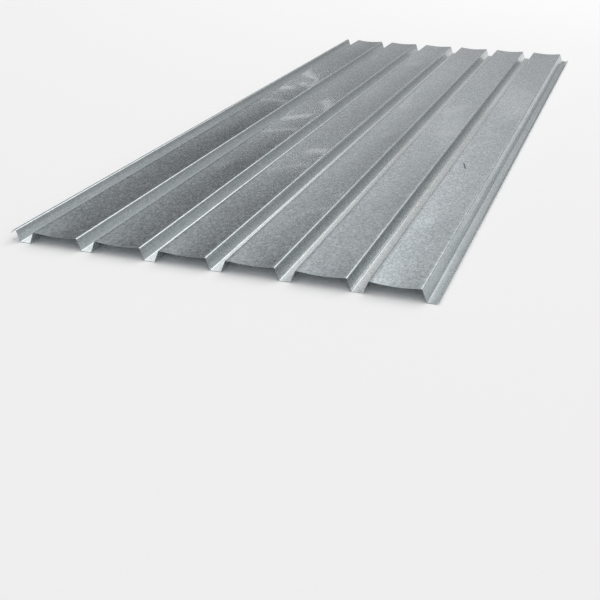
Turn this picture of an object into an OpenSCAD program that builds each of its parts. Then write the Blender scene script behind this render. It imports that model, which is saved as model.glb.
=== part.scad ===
// Profiled galvanized steel sheet, lying on its narrow ribs with the wide pans on top.
// Millimetres. The ribs run along Y, the rolled section lies in X and Z, and Z is up.

/* [Sheet] */
// Length of the sheet, along the ribs
sheet_length = 2000; // [600:10:6000]
// Thickness of the steel strip with its zinc
strip_thickness = 0.5; // [0.3:0.05:1.2]
// Number of wide pans across the sheet
pan_count = 6; // [3:1:10]

/* [Ribs and pans] */
// Distance from one rib to the next
rib_pitch = 120; // [90:1:220]
// Depth of a rib below the pan edges
rib_depth = 21.5; // [14:0.5:40]
// Width of a rib where it leaves the pans
rib_mouth = 35; // [27:0.5:60]
// Width of the narrow flat that a rib stands on
rib_floor = 18.5; // [8:0.5:26]
// Sag of a pan, from its edges to its middle
pan_dip = 2; // [0.5:0.25:6]
// Radius of the rolled bends, at half the thickness
bend_radius = 2.5; // [1:0.25:3]

/* [Drip edge, on the left] */
// Flat along the top of the outermost web
crest_width = 4; // [3.5:0.5:15]
// Length of the lip that turns down from the crest
drip_lip = 9; // [4:0.5:15]
// Slope of that lip below the level
drip_lip_angle = 45; // [20:1:70]

/* [Lap edge, on the right] */
// Flat of the last rib, which has no outer web
lap_floor = 14; // [9:0.5:18]
// Length of the lip that turns up from the last flat
lap_lip = 6; // [3:0.5:12]
// Slope of that lip above the level
lap_lip_angle = 40; // [15:1:70]

/* [Hidden] */

zinc = [0.66, 0.69, 0.7];
bend_steps = 6;
pan_steps = 12;

mouth_half = rib_mouth/2;
floor_half = rib_floor/2;
pan_span = rib_pitch - rib_mouth;
// the sagging pan is a shallow arc through both of its edges
pan_radius = (pan_span*pan_span/4 + pan_dip*pan_dip)/(2*pan_dip);
floor_z = strip_thickness/2;
crest_z = floor_z + rib_depth;

function unit(v) = v/norm(v);
function left_of(v) = [-v[1], v[0]];
function turned(v, a) = [v[0]*cos(a) - v[1]*sin(a), v[0]*sin(a) + v[1]*cos(a)];

// Folded strip at half thickness, from the drip edge to the lap edge; rib 0 is at x = 0.
function drip_edge() = [
    [-mouth_half - crest_width - drip_lip*cos(drip_lip_angle), crest_z - drip_lip*sin(drip_lip_angle)],
    [-mouth_half - crest_width, crest_z],
    [-mouth_half, crest_z]];

function rib(i) = [for (s = [-1, 1]) [i*rib_pitch + s*floor_half, floor_z]];

function pan(i) = [for (k = [0:pan_steps])
    let (u = pan_span*(k/pan_steps - 0.5))
    [(i + 0.5)*rib_pitch + u, crest_z + pan_radius - pan_dip - sqrt(pan_radius*pan_radius - u*u)]];

function lap_edge(x) = [
    [x, floor_z],
    [x + lap_floor, floor_z],
    [x + lap_floor + lap_lip*cos(lap_lip_angle), floor_z + lap_lip*sin(lap_lip_angle)]];

folds = concat(
    drip_edge(),
    [for (i = [0:pan_count - 1]) each concat(rib(i), pan(i))],
    lap_edge(pan_count*rib_pitch - floor_half));

// Rounds the fold at b; a pan's own gentle curve stays as it is.
function bend(a, b, c) =
    let (u = unit(a - b), v = unit(c - b), half = acos(max(-1, min(1, u*v)))/2, turn = 180 - 2*half)
    turn < 10 ? [b] :
    let (side = u[0]*v[1] - u[1]*v[0] < 0 ? 1 : -1,
         heart = b + unit(u + v)*bend_radius/sin(half),
         start = b + u*bend_radius/tan(half) - heart)
    [for (k = [0:bend_steps]) heart + turned(start, side*turn*k/bend_steps)];

last = len(folds) - 1;
middle_line = concat(
    [folds[0]],
    [for (i = [1:last - 1]) each bend(folds[i - 1], folds[i], folds[i + 1])],
    [folds[last]]);

// Face of the strip, at distance d to the left of its middle line.
function face(line, d) = [for (i = [0:len(line) - 1])
    let (p = max(i, 1), q = min(i, len(line) - 2),
         before = left_of(unit(line[p] - line[p - 1])),
         after = left_of(unit(line[q + 1] - line[q])),
         normal = unit(before + after))
    line[i] + normal*d/(normal*after)];

top_face = face(middle_line, strip_thickness/2);
under_face = face(middle_line, -strip_thickness/2);
section = concat(top_face, [for (i = [len(under_face) - 1:-1:0]) under_face[i]]);
centre_x = (min([for (p = section) p[0]]) + max([for (p = section) p[0]]))/2;

module sheet() {
    color(zinc)
    translate([-centre_x, sheet_length/2, 0])
    rotate([90, 0, 0])
    linear_extrude(height = sheet_length)
    polygon(section);
}

sheet();
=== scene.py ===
import math
import bmesh
import bpy
from mathutils import Euler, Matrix, Quaternion, Vector, noise


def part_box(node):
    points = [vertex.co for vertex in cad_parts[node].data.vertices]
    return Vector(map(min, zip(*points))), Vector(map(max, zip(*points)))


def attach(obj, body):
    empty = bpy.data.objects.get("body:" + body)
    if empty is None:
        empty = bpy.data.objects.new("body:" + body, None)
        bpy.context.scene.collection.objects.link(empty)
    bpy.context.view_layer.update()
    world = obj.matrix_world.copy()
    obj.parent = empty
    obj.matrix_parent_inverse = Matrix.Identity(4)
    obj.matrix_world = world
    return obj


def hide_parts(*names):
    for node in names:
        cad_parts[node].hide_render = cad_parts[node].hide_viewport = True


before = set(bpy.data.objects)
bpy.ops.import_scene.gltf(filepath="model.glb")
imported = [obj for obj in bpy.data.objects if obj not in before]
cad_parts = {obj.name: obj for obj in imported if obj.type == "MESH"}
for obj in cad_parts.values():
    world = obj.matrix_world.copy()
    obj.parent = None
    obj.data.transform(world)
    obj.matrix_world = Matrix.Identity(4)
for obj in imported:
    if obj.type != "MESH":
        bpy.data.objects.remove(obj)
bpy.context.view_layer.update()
print("frame loaded, nodes:", list(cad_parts))


# Shader maths: a Wire is one socket, a Board is one node tree

class Wire:
    def __init__(self, board, socket):
        self.board = board
        self.socket = socket

    def other(self, name):  # another output of the same node
        return Wire(self.board, self.socket.node.outputs[name])

    def __add__(self, right):
        return self.board.maths("ADD", self, right)

    def __radd__(self, left):
        return self.board.maths("ADD", left, self)

    def __sub__(self, right):
        return self.board.maths("SUBTRACT", self, right)

    def __rsub__(self, left):
        return self.board.maths("SUBTRACT", left, self)

    def __mul__(self, right):
        return self.board.maths("MULTIPLY", self, right)

    def __rmul__(self, left):
        return self.board.maths("MULTIPLY", left, self)

    def __truediv__(self, right):
        return self.board.maths("DIVIDE", self, right)

    def __rtruediv__(self, left):
        return self.board.maths("DIVIDE", left, self)

    def __abs__(self):
        return self.board.maths("ABSOLUTE", self, 0.0)


class Board:
    def __init__(self, tree):
        self.tree = tree
        tree.nodes.clear()

    def add(self, kind, settings=None, sockets=None, out=0):
        node = self.tree.nodes.new(kind)
        for name, value in (settings or {}).items():
            setattr(node, name, value)
        for key, value in (sockets or {}).items():
            if isinstance(value, Wire):
                self.tree.links.new(value.socket, node.inputs[key])
            else:
                node.inputs[key].default_value = value
        return Wire(self, node.outputs[out]) if len(node.outputs) else node

    def maths(self, operation, first, second):
        return self.add("ShaderNodeMath", {"operation": operation}, {0: first, 1: second})

    def clamp(self, value):
        return self.add("ShaderNodeClamp", None, {"Value": value})

    def ramp(self, value, low, high):  # 0 below low, 1 above high, smooth between
        sockets = {"Value": value, "From Min": low, "From Max": high}
        return self.add("ShaderNodeMapRange", {"interpolation_type": "SMOOTHSTEP"}, sockets)

    def vector(self, x, y):
        return self.add("ShaderNodeCombineXYZ", None, {"X": x, "Y": y})

    def vectorMaths(self, operation, first, second):
        return self.add("ShaderNodeVectorMath", {"operation": operation}, {0: first, 1: second})

    def noise(self, vector, detail, rough=0.5):
        sockets = {"Vector": vector, "Scale": 1.0, "Detail": detail, "Roughness": rough}
        return self.add("ShaderNodeTexNoise", None, sockets)

    def mixColour(self, factor, first, second, blend="MIX"):
        settings = {"data_type": "RGBA", "blend_type": blend, "clamp_factor": True}
        return self.add("ShaderNodeMix", settings, {0: factor, 6: first, 7: second}, 2)


def weighted(patterns, weights):
    # the patterns that weights names, each times its weight
    return sum(patterns[name] * weight for name, weight in weights.items())


# Rolled sheet: one strip, folded flat by flat, bent, cut along its length and thickened

sheetSpec = {
    "thickness": 0.0005,
    "pans": 6,
    "pitch": 0.120,           # from rib to rib
    "depth": 0.0215,
    "mouth": 0.035,
    "floor": 0.0185,
    "sag": 0.002,             # pan middle below pan edges
    "bend": 0.0025,           # radius at half thickness
    "crest": 0.004,
    "dripLip": 0.009,
    "dripAngle": 45.0,
    "lapFloor": 0.014,
    "lapLip": 0.006,
    "lapAngle": 40.0,
    "panSteps": 12,
    "bendSteps": 5,
    "lengthCuts": 79,
    "foldTurn": 20.0,         # degrees, less than this is a pan's own curve
    "smoothTurn": 40.0,       # degrees, sharper edges stay hard
    "weatherTilt": 0.05,      # least upward share of a normal on the weather side
    # what rolling and handling leave
    "panWave": 0.0007,        # loose pans, highest wave
    "waveLength": 0.26,
    "lipWave": 0.0006,
    "lipWaveLength": 0.17,
    "waveSeed": (7.3, 0.5),   # step from pan to pan, start
    "endFlare": 0.0008,       # pans sag more at the sheared ends
    "flareReach": 0.10,
    "dentStretch": 1.4,       # dents are longer along the sheet
    "dents": [                # x, y, radius, depth
        (-0.286, 0.31, 0.035, 0.0012),
        (-0.178, -0.52, 0.028, 0.0010),
        (-0.041, 0.66, 0.040, 0.0014),
        (0.077, -0.18, 0.030, 0.0008),
        (0.196, 0.43, 0.026, 0.0010),
        (0.305, -0.71, 0.032, 0.0011),
    ],
}

sheetLow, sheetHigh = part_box("sheet")
sheetLength = sheetHigh[1] - sheetLow[1]
halfLength = sheetLength / 2
hair = 1e-5                   # metres, less than any real distance here
dripAngle = math.radians(sheetSpec["dripAngle"])
lapAngle = math.radians(sheetSpec["lapAngle"])
lapRun = sheetSpec["lapLip"] * math.cos(lapAngle)
tipX = sheetLow[0] + sheetSpec["thickness"] / 2 * math.sin(dripAngle)
crestX = tipX + sheetSpec["dripLip"] * math.cos(dripAngle)
firstRib = crestX + sheetSpec["crest"] + sheetSpec["mouth"] / 2
floorZ = sheetLow[2] + sheetSpec["thickness"] / 2
crestZ = floorZ + sheetSpec["depth"]


def panProfile():
    # a shallow arc, as steps from one pan edge to the other
    span = sheetSpec["pitch"] - sheetSpec["mouth"]
    sag = sheetSpec["sag"]
    radius = (span * span / 4 + sag * sag) / (2 * sag)
    count = sheetSpec["panSteps"]
    places = [span * (step / count - 0.5) for step in range(count + 1)]
    heights = [radius - sag - math.sqrt(radius * radius - place * place) for place in places]
    return [(span / count, heights[i + 1] - heights[i]) for i in range(count)]


def foldSteps():
    # every flat after the drip lip, as a run to the right and a rise
    webRun = (sheetSpec["mouth"] - sheetSpec["floor"]) / 2
    down = (webRun, -sheetSpec["depth"])
    up = (webRun, sheetSpec["depth"])
    steps = [(sheetSpec["crest"], 0.0)]
    for _ in range(sheetSpec["pans"]):
        steps += [down, (sheetSpec["floor"], 0.0), up] + panProfile()
    lapRise = sheetSpec["lapLip"] * math.sin(lapAngle)
    return steps + [down, (sheetSpec["lapFloor"], 0.0), (lapRun, lapRise)]


def selectEdges(mesh, wanted):
    work = bmesh.from_edit_mesh(mesh)
    for edge in work.edges:
        edge.select_set(False)
    for edge in [edge for edge in work.edges if wanted(edge)]:
        edge.select_set(True)
    bmesh.update_edit_mesh(mesh)


def foldStrip():
    bpy.ops.object.select_all(action="DESELECT")
    bpy.ops.mesh.primitive_plane_add(size=1.0, location=(0.0, 0.0, 0.0))
    strip = bpy.context.active_object
    strip.name = "rolledSheet"
    lipRun = crestX - tipX
    lipDrop = sheetSpec["dripLip"] * math.sin(dripAngle)
    bpy.ops.object.mode_set(mode="EDIT")
    bpy.ops.mesh.select_mode(type="EDGE")
    bpy.ops.transform.resize(value=(lipRun, sheetLength, 1.0))
    bpy.ops.transform.translate(value=((tipX + crestX) / 2, 0.0, crestZ - lipDrop))
    middle = tipX + lipRun / 2
    selectEdges(strip.data, lambda edge: all(vert.co.x > middle for vert in edge.verts))
    bpy.ops.transform.translate(value=(0.0, 0.0, lipDrop))
    for run, rise in foldSteps():
        bpy.ops.mesh.extrude_edges_move(TRANSFORM_OT_translate={"value": (run, 0.0, rise)})
    return strip


def roundFolds(strip):
    # folds of one angle at a time, so that all get the same radius
    slack = 1.5  # degrees between folds of one kind

    def turn(edge):
        return math.degrees(edge.calc_face_angle(0.0))

    work = bmesh.from_edit_mesh(strip.data)
    folds = [turn(edge) for edge in work.edges if turn(edge) > sheetSpec["foldTurn"]]
    turns = sorted({round(angle) for angle in folds})
    for angle in turns:
        selectEdges(strip.data, lambda edge: abs(turn(edge) - angle) < slack)
        reach = sheetSpec["bend"] * math.tan(math.radians(angle) / 2)
        segments = sheetSpec["bendSteps"]
        bpy.ops.mesh.bevel(offset=reach, segments=segments, profile=0.5, affect="EDGES")
    print("folds rounded, turns in degrees:", turns)


def cutLength(strip):
    def alongRib(edge):
        first, second = edge.verts
        return abs(first.co.y - second.co.y) > sheetLength / 2

    selectEdges(strip.data, alongRib)
    bpy.ops.mesh.subdivide(number_cuts=sheetSpec["lengthCuts"], smoothness=0.0)


def markStrip(strip):
    # distance across the flat strip, before it was rolled, for patterns that follow the metal
    digits = 6  # to a micron
    mesh = strip.data
    front = [vert.co for vert in mesh.vertices if vert.co.y < -halfLength + hair]
    row = sorted((place.x, place.z) for place in front)
    across = {round(row[0][0], digits): 0.0}
    total = 0.0
    for (x0, z0), (x1, z1) in zip(row, row[1:]):
        total += math.hypot(x1 - x0, z1 - z0)
        across[round(x1, digits)] = total
    layer = mesh.attributes.new("across", "FLOAT", "POINT")
    for vert, item in zip(mesh.vertices, layer.data):
        item.value = across[round(vert.co.x, digits)]
    print("strip width before rolling, mm:", round(total * 1000, 1))
    return total


def smoothStep(value):
    value = max(0.0, min(1.0, value))
    return value * value * (3.0 - 2.0 * value)


def wave(strand, y, length):
    # slow unevenness along the sheet, another one for each pan or lip
    step, start = sheetSpec["waveSeed"]
    return noise.noise(Vector((strand * step, y / length, start)))


def panShare(x):
    # 1 in the middle of a pan, 0 on ribs and pan edges
    span = sheetSpec["pitch"] - sheetSpec["mouth"]
    inside = ((x - firstRib) % sheetSpec["pitch"] - sheetSpec["mouth"] / 2) / span
    if inside <= 0.0 or inside >= 1.0 or x < firstRib:
        return 0.0
    return math.sin(math.pi * inside) ** 2


def workMetal(strip):
    # what rolling and handling leave: loose pans, flared ends, wavy lips, shallow dents
    lapX = sheetHigh[0] - lapRun
    for vert in strip.data.vertices:
        x, y = vert.co.xy
        strand = math.floor((x - firstRib) / sheetSpec["pitch"])
        share = panShare(x)
        if share > 0.0:
            flare = smoothStep(1.0 - (halfLength - abs(y)) / sheetSpec["flareReach"])
            loose = sheetSpec["panWave"] * wave(strand, y, sheetSpec["waveLength"])
            vert.co.z += share * (loose - sheetSpec["endFlare"] * flare)
            for dentX, dentY, radius, depth in sheetSpec["dents"]:
                away = math.hypot(x - dentX, (y - dentY) / sheetSpec["dentStretch"]) / radius
                vert.co.z -= depth * smoothStep(1.0 - away)
        lip = max(smoothStep((crestX - x) / (crestX - tipX)), smoothStep((x - lapX) / lapRun))
        vert.co.z += lip * sheetSpec["lipWave"] * wave(strand, y, sheetSpec["lipWaveLength"])


def thicken(strip):
    wall = strip.modifiers.new("thickness", "SOLIDIFY")
    wall.thickness = sheetSpec["thickness"]
    wall.offset = 0.0
    wall.use_even_offset = True
    bpy.ops.object.modifier_apply(modifier=wall.name)
    bpy.ops.object.mode_set(mode="EDIT")
    bpy.ops.mesh.select_all(action="SELECT")
    bpy.ops.mesh.normals_make_consistent(inside=False)
    bpy.ops.object.mode_set(mode="OBJECT")
    bpy.ops.object.shade_smooth_by_angle(angle=math.radians(sheetSpec["smoothTurn"]))


def markUpper(strip):
    # 1 on the weather side, 0 on the underside and the sheared ends
    layer = strip.data.attributes.new("upper", "FLOAT", "FACE")
    for face, item in zip(strip.data.polygons, layer.data):
        item.value = 1.0 if face.normal.z > sheetSpec["weatherTilt"] else 0.0


def makeSheet():
    strip = foldStrip()
    roundFolds(strip)
    cutLength(strip)
    bpy.ops.object.mode_set(mode="OBJECT")
    width = markStrip(strip)
    workMetal(strip)
    thicken(strip)
    markUpper(strip)
    strip.data.calc_loop_triangles()
    print("sheet modelled, triangles:", len(strip.data.loop_triangles))
    return strip, width


# Galvanized zinc, with a thin film of oil

zincSpec = {
    "dark": (0.369, 0.435, 0.469, 1.0),
    "light": (0.832, 0.888, 0.918, 1.0),
    "ribTint": (1.0, 0.973, 0.95, 1.0),    # times the colour in the ribs, a little warmer
    "usualShade": 0.5,        # between dark and light, where no pattern moves it
    "bareSteel": (0.11, 0.115, 0.118, 1.0),
    "cutSteel": (0.26, 0.272, 0.28, 1.0),
    "cutCover": 0.8,          # how far it hides the zinc at the cut edges
    "cutReach": (0.00005, 0.0004),
    "spangle": 0.0028,        # width of the zinc crystals
    "spangleStretch": 1.7,    # their length along the rolling
    "feathering": (9.0, 1.5, 0.0),    # strokes in a crystal, across and along its own direction
    "featherDetail": 1.0,
    "ironing": 0.6,           # how far the rolls smoothed the crystals in the ribs
    "underShift": 3.1,        # the underside has crystals of its own
    "bumpHeight": 0.00003,
    "roughness": 0.27,
    "film": 0.70,
    "filmRoughness": 0.06,
    "filmCover": 0.7,         # its usual share, thinner and thicker in places
    "patterns": {             # size across and along the strip, turn in degrees, detail, roughness
        "cloud": (0.33, 0.33, 0.0, 3.0, 0.5),
        "patch": (0.017, 0.042, 0.0, 3.0, 0.6),
        "rolling": (0.0014, 0.45, 0.0, 2.0, 0.5),    # fine lines along the rolling
        "drag": (0.0038, 0.9, 0.0, 3.0, 0.7),        # long rubs from handling
        "wipe": (0.28, 0.05, 48.0, 3.0, 0.6),        # oil wiped slantwise
    },
    "dragFrom": (0.12, 0.22),
    "wipeFrom": (0.02, 0.22),
    # how far each pattern moves the shade, from dark at 0 to light at 1
    # the entries for the bends, grooves, webs and lap side paint in a highlight, light and shade
    "shade": {"crystal": 0.60, "feather": 0.36, "cloud": 0.16, "patch": 0.07, "rolling": 0.18,
              "drag": 0.10, "wipe": 0.10, "burnishAndHighlight": 0.10, "paintedGrooveLight": 0.28,
              "web": -0.26, "lap": -0.26},
    # and the roughness, the relief and the film
    "rough": {"gloss": 0.12, "feather": 0.08, "cloud": 0.06, "wipe": -0.04, "burnishAndHighlight": -0.06,
              "lap": 0.04, "cut": 0.10, "scratch": 0.15},
    "relief": {"crystal": 0.35, "feather": 0.30, "rolling": 0.35, "patch": 0.30, "scratch": -0.80},
    "filmChange": {"cloud": 0.8, "wipe": 0.4, "cut": -1.0, "scratch": -1.0},
    "scratchFade": 0.2,       # share of a scratch that tapers off at each end
    "scratches": [            # from x, y to x, y, half width, depth
        (0.2843, -0.3130, 0.2980, -0.3630, 0.0019, 1.0),
        (-0.2760, -0.540, -0.2520, -0.455, 0.0005, 0.3),
        (-0.0620, 0.250, -0.0410, 0.390, 0.0005, 0.3),
        (0.0590, 0.560, 0.0880, 0.610, 0.0006, 0.4),
        (0.1770, -0.120, 0.1840, 0.070, 0.0004, 0.3),
        (0.3290, 0.480, 0.3050, 0.560, 0.0005, 0.4),
    ],
}


def zincCrystals(board, strip):
    # each crystal has its own shade and gloss, and a feathered grain in its own direction
    width = zincSpec["spangle"]
    length = width * zincSpec["spangleStretch"]
    grid = board.vectorMaths("MULTIPLY", strip, (1.0 / width, 1.0 / length, 0.0))
    cells = {"Vector": grid, "Scale": 1.0, "Randomness": 1.0}
    crystal = board.add("ShaderNodeTexVoronoi", {"voronoi_dimensions": "2D"}, cells, "Color")
    shade = board.add("ShaderNodeSeparateColor", None, {0: crystal}, "Red")
    middle = board.vectorMaths("SUBTRACT", grid, crystal.other("Position"))
    turn = {"Vector": middle, "Angle": shade.other("Green") * math.tau}
    turned = board.add("ShaderNodeVectorRotate", {"rotation_type": "Z_AXIS"}, turn)
    strokes = board.vectorMaths("MULTIPLY", turned, zincSpec["feathering"])
    feather = board.noise(strokes, zincSpec["featherDetail"])
    return {"crystal": shade - 0.5, "gloss": shade.other("Blue") - 0.5, "feather": feather - 0.5}


def stripPatterns(board, strip):
    # rolling and handling, each about zero, with drag and wipe only where they are strong
    patterns = {}
    for name, (sizeAcross, sizeAlong, turn, detail, rough) in zincSpec["patterns"].items():
        size = (sizeAcross, sizeAlong, 1.0)
        sockets = {"Vector": strip, "Rotation": (0.0, 0.0, math.radians(turn)), "Scale": size}
        place = board.add("ShaderNodeMapping", {"vector_type": "TEXTURE"}, sockets)
        patterns[name] = board.noise(place, detail, rough) - 0.5
    patterns["drag"] = board.ramp(patterns["drag"], *zincSpec["dragFrom"])
    patterns["wipe"] = board.ramp(patterns["wipe"], *zincSpec["wipeFrom"])
    return patterns


def ribPatterns(board, x, upper):
    # burnished where the rolls bent the strip, a painted highlight on the bends, ironed in the
    # ribs, painted light down in the grooves, painted shade on the webs below the pan edges,
    # and painted shade along the lap side, which lies open and is a little rougher
    floorHalf = sheetSpec["floor"] / 2
    mouthHalf = sheetSpec["mouth"] / 2
    bend = sheetSpec["bend"]
    fromRib = board.maths("PINGPONG", x - firstRib, sheetSpec["pitch"] / 2)
    mouthBend = board.clamp(1.0 - abs(fromRib - mouthHalf) / bend)
    floorBend = board.clamp(1.0 - abs(fromRib - floorHalf) / bend)
    lapWeb = firstRib + sheetSpec["pitch"] * sheetSpec["pans"] - mouthHalf
    # painted shade on the lap side beyond the last rib, which is also made a little rougher
    lap = upper * board.ramp(x, lapWeb - bend, lapWeb + bend)
    # painted light: lighter down on the floors and lower webs of the grooves, fading out at the
    # pan edges
    paintedGrooveLight = (upper - lap) * (1.0 - board.ramp(fromRib, floorHalf, mouthHalf))
    ironed = 1.0 - board.ramp(fromRib, mouthHalf - bend, mouthHalf + bend)
    # painted shade: a darker strip on the webs, just below the pan edges
    webTop = mouthHalf - bend / 2
    belowTop = board.ramp(fromRib, floorHalf + bend, webTop)
    web = belowTop * (1.0 - board.ramp(fromRib, webTop, mouthHalf)) * upper
    # lighter on both bends as a painted highlight, and smoother where the rolls burnished them
    burnishAndHighlight = board.maths("MAXIMUM", mouthBend, floorBend)
    return {"burnishAndHighlight": burnishAndHighlight, "paintedGrooveLight": paintedGrooveLight, "lap": lap, "web": web, "ironed": ironed}


def scratchMask(board, x, y, scratch):
    fromX, fromY, toX, toY, width, depth = scratch
    length = math.hypot(toX - fromX, toY - fromY)
    fade = length * zincSpec["scratchFade"]
    aheadX, aheadY = (toX - fromX) / length, (toY - fromY) / length
    along = (x - fromX) * aheadX + (y - fromY) * aheadY
    aside = abs((y - fromY) * aheadX - (x - fromX) * aheadY)
    ends = board.ramp(along, 0.0, fade) * (1.0 - board.ramp(along, length - fade, length))
    return (1.0 - board.ramp(aside, width / 2, width)) * ends * depth


def barePatterns(board, x, y, across, upper):
    # scratches on the weather side, and cut steel along the sheared ends and slit sides
    scratch = 0.0
    for spec in zincSpec["scratches"]:
        scratch = board.maths("MAXIMUM", scratchMask(board, x, y, spec), scratch)
    fromSide = board.maths("MINIMUM", across, stripWidth - across)
    fromEdge = board.maths("MINIMUM", halfLength - abs(y), fromSide)
    return {"scratch": scratch * upper, "cut": 1.0 - board.ramp(fromEdge, *zincSpec["cutReach"])}


def galvanizedZinc():
    material = bpy.data.materials.new("galvanizedZinc")
    material.use_nodes = True
    board = Board(material.node_tree)
    place = board.add("ShaderNodeTexCoord", None, None, "Object")
    x = board.add("ShaderNodeSeparateXYZ", None, {0: place}, "X")
    y = x.other("Y")
    upper = board.add("ShaderNodeAttribute", {"attribute_name": "upper"}, None, "Fac")
    across = board.add("ShaderNodeAttribute", {"attribute_name": "across"}, None, "Fac")
    strip = board.vector(across + (1.0 - upper) * zincSpec["underShift"], y)

    patterns = zincCrystals(board, strip)
    patterns.update(stripPatterns(board, strip))
    patterns.update(ribPatterns(board, x, upper))
    patterns.update(barePatterns(board, x, y, across, upper))
    crisp = 1.0 - patterns["ironed"] * zincSpec["ironing"]
    for name in ("crystal", "feather"):
        patterns[name] = patterns[name] * crisp

    tone = board.clamp(zincSpec["usualShade"] + weighted(patterns, zincSpec["shade"]))
    colour = board.mixColour(tone, zincSpec["dark"], zincSpec["light"])
    colour = board.mixColour(patterns["ironed"], colour, zincSpec["ribTint"], "MULTIPLY")
    colour = board.mixColour(patterns["cut"] * zincSpec["cutCover"], colour, zincSpec["cutSteel"])
    colour = board.mixColour(patterns["scratch"], colour, zincSpec["bareSteel"])
    rough = zincSpec["roughness"] + weighted(patterns, zincSpec["rough"])
    relief = {"Distance": zincSpec["bumpHeight"], "Height": weighted(patterns, zincSpec["relief"])}
    bump = board.add("ShaderNodeBump", None, relief)
    film = board.clamp(zincSpec["filmCover"] + weighted(patterns, zincSpec["filmChange"]))
    sockets = {"Base Color": colour, "Metallic": 1.0, "Roughness": rough, "Normal": bump,
               "Coat Weight": film * zincSpec["film"], "Coat Roughness": zincSpec["filmRoughness"]}
    surface = board.add("ShaderNodeBsdfPrincipled", None, sockets)
    board.add("ShaderNodeOutputMaterial", None, {"Surface": surface})
    return material


sheetPiece, stripWidth = makeSheet()
sheetPiece.data.materials.append(galvanizedZinc())
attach(sheetPiece, "root")
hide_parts("sheet")
print("zinc finished")


# Camera

cameraSpec = {
    "place": (0.6230, -2.3494, 0.6310),
    "turn": 19.11,            # to the left of +Y, degrees
    "tilt": 24.76,            # below the level
    "roll": 0.57,
    "focalPixels": 984.1,
    "framePixels": 600.0,
    "sensor": 36.0,
    "clipEnd": 200.0,
}


def addCamera():
    data = bpy.data.cameras.new("viewCamera")
    data.sensor_width = cameraSpec["sensor"]
    data.lens = cameraSpec["focalPixels"] / cameraSpec["framePixels"] * cameraSpec["sensor"]
    data.clip_end = cameraSpec["clipEnd"]
    camera = bpy.data.objects.new("viewCamera", data)
    bpy.context.scene.collection.objects.link(camera)
    turn = Euler((0.0, 0.0, math.radians(cameraSpec["turn"]))).to_matrix()
    tilt = Euler((math.radians(90.0 - cameraSpec["tilt"]), 0.0, 0.0)).to_matrix()
    roll = Euler((0.0, 0.0, math.radians(cameraSpec["roll"]))).to_matrix()
    camera.matrix_world = (turn @ tilt @ roll).to_4x4()
    camera.location = cameraSpec["place"]
    bpy.context.scene.camera = camera


# Floor and light

stageSpec = {
    "floorSize": 160.0,
    "floorDrop": 0.0003,      # keeps the floor clear of the ribs
    "floorShade": 0.94,
    "floorLift": 0.22,        # paler to the eye and in the metal, with no more light on the sheet
    "skyLow": 0.22,           # near the horizon
    "skyHigh": 1.0,           # overhead
    "haze": 0.825,            # along the horizon itself, as pale as the far floor
    "hazeTop": (0.035, 0.055),
    "leftShare": 0.32,        # what is left of the sky low on the darker side
    "leftSide": (-0.42, -0.18),
    "leftTop": (0.38, 0.52),
    "rightGlow": 0.2,         # added to it low on the other side
    "rightSide": (0.25, 0.65),
    "rightTop": (0.2, 0.5),
    "lamps": [                # name, place, aim, width, height, roll in degrees, power
        ("softBox", (1.1, 3.6, 3.3), (0.0, 0.0, 0.0), 3.6, 2.4, 0.0, 24.0),
        # the rest are mirrored in the pans: streaks on the left, pale patches on the right
        ("longStrip", (-1.61, 4.13, 1.21), (-0.1, -0.2, 0.0), 0.04, 0.50, 14.0, 0.067),
        ("thinStrip", (-1.74, 4.13, 1.35), (-0.1, -0.2, 0.0), 0.03, 1.3, 14.0, 0.09),
        ("shortStrip", (-1.57, 4.13, 0.85), (-0.1, -0.2, 0.0), 0.06, 0.42, 33.0, 0.075),
        ("leftBox", (-0.61, 4.13, 1.08), (-0.1, -0.2, 0.0), 0.34, 0.18, 25.0, 0.062),
        ("rightBox", (-0.17, 4.13, 0.93), (-0.1, -0.2, 0.0), 0.20, 0.20, 25.0, 0.032),
    ],
}


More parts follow.
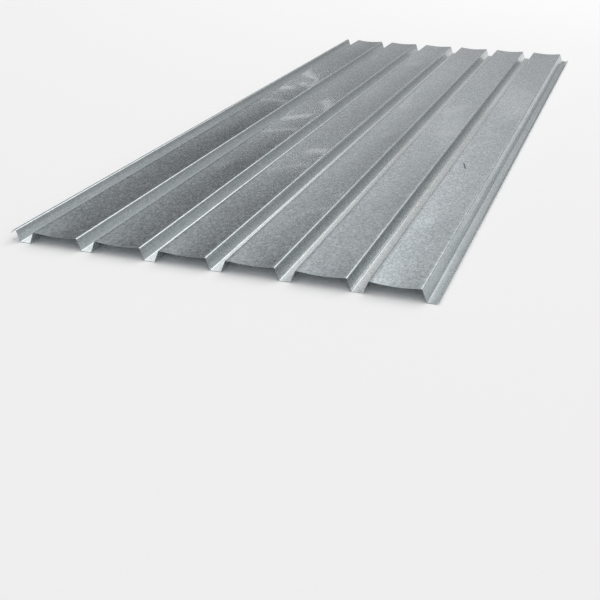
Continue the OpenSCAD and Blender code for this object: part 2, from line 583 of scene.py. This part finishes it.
def addFloor():
    bpy.ops.object.select_all(action="DESELECT")
    bpy.ops.mesh.primitive_plane_add(size=stageSpec["floorSize"], location=(0.0, 0.0, 0.0))
    floor = bpy.context.active_object
    floor.name = "paleFloor"
    bpy.ops.object.mode_set(mode="EDIT")
    bpy.ops.transform.translate(value=(0.0, 0.0, -stageSpec["floorDrop"]))
    bpy.ops.object.mode_set(mode="OBJECT")
    material = bpy.data.materials.new("paleFloor")
    material.use_nodes = True
    board = Board(material.node_tree)
    seen = board.add("ShaderNodeLightPath", None, None, "Is Camera Ray")
    seen = board.clamp(seen + seen.other("Is Glossy Ray") + seen.other("Is Transmission Ray"))
    shade = stageSpec["floorShade"] * (1.0 + seen * stageSpec["floorLift"])
    surface = board.add("ShaderNodeBsdfDiffuse", None, {"Color": shade})
    board.add("ShaderNodeOutputMaterial", None, {"Surface": surface})
    floor.data.materials.append(material)


def addLamp(name, place, aim, width, height, roll, power):
    data = bpy.data.lights.new(name, "AREA")
    data.shape = "RECTANGLE"
    data.size = width
    data.size_y = height
    data.energy = power
    lamp = bpy.data.objects.new(name, data)
    bpy.context.scene.collection.objects.link(lamp)
    lamp.location = place
    towards = (Vector(aim) - Vector(place)).to_track_quat("-Z", "Y")
    lamp.rotation_euler = (towards @ Quaternion((0.0, 0.0, 1.0), math.radians(roll))).to_euler()
    lamp.visible_camera = False


def addSky():
    world = bpy.data.worlds.new("softSky")
    bpy.context.scene.world = world
    world.use_nodes = True
    board = Board(world.node_tree)
    ray = board.add("ShaderNodeTexCoord", None, None, "Generated")
    x = board.add("ShaderNodeSeparateXYZ", None, {0: ray}, "X")
    climb = board.clamp(x.other("Z"))
    lowLeft = 1.0 - board.ramp(climb, *stageSpec["leftTop"])
    lowRight = 1.0 - board.ramp(climb, *stageSpec["rightTop"])
    left = (1.0 - board.ramp(x, *stageSpec["leftSide"])) * lowLeft
    right = board.ramp(x, *stageSpec["rightSide"]) * lowRight
    light = stageSpec["skyLow"] + climb * (stageSpec["skyHigh"] - stageSpec["skyLow"])
    light = light * (1.0 - left * (1.0 - stageSpec["leftShare"]) + right * stageSpec["rightGlow"])
    haze = 1.0 - board.ramp(climb, *stageSpec["hazeTop"])
    light = light + haze * (stageSpec["haze"] - light)
    sockets = {"Color": (1.0, 1.0, 1.0, 1.0), "Strength": light}
    back = board.add("ShaderNodeBackground", None, sockets)
    board.add("ShaderNodeOutputWorld", None, {"Surface": back})


addCamera()
addFloor()
addSky()
for lamp in stageSpec["lamps"]:
    addLamp(*lamp)
bpy.context.scene.view_settings.view_transform = "Standard"
print("stage, light and camera set")
